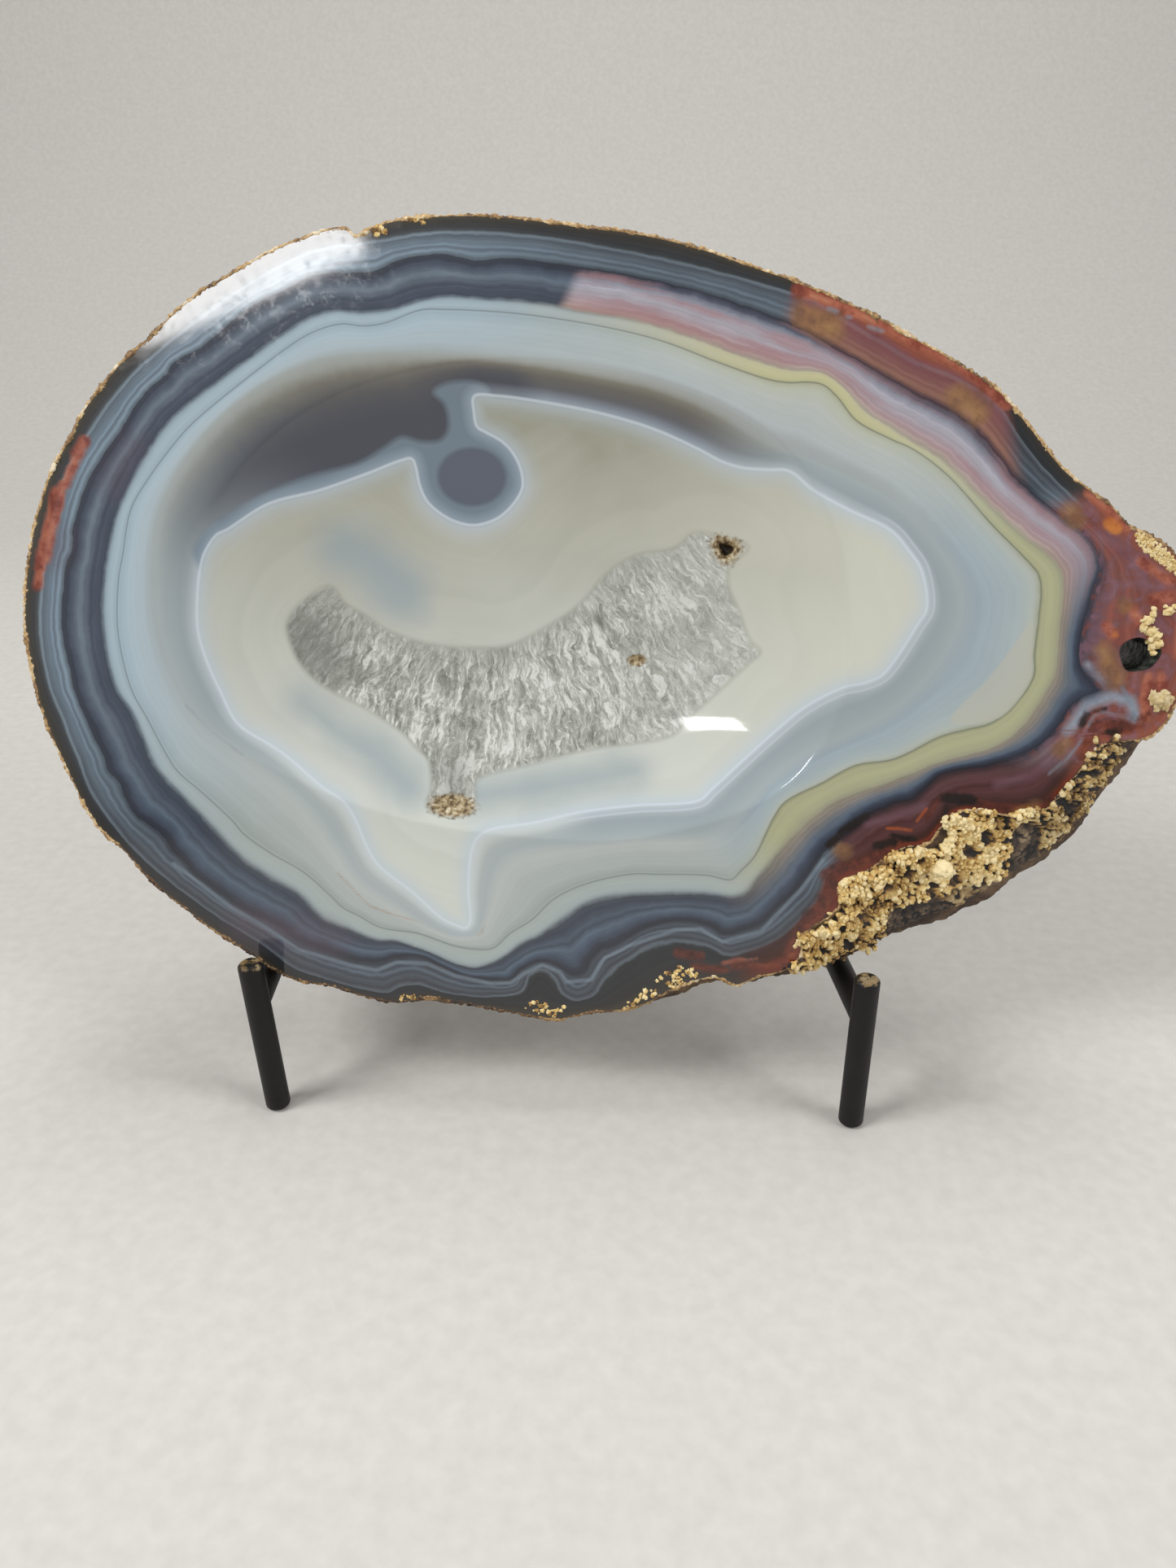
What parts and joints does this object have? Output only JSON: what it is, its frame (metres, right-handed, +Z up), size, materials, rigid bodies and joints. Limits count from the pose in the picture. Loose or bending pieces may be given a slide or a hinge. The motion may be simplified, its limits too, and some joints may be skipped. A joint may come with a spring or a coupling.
{
  "type": "banded agate dish on a stand",
  "caption": "Polished slice of banded agate ground into a shallow dish, with its natural rind and crust, leaning back on a small black rod easel.",
  "frame": {"origin": "middle of the footprint, on the table", "axes": "+Z up, the polished face looks towards -Y and a little upward, +X to the right of someone who looks at the face"},
  "size_m": [0.2126, 0.0848, 0.1602],
  "materials": {
    "agate": "polished",
    "black_iron": "satin"
  },
  "bodies": {
    "root": {"agate": "agate", "left_front_post": "black_iron", "right_front_post": "black_iron", "left_side_rod": "black_iron", "right_side_rod": "black_iron", "left_rear_leg": "black_iron", "right_rear_leg": "black_iron", "upper_cross_bar": "black_iron", "lower_cross_bar": "black_iron"}
  },
  "joints": []
}
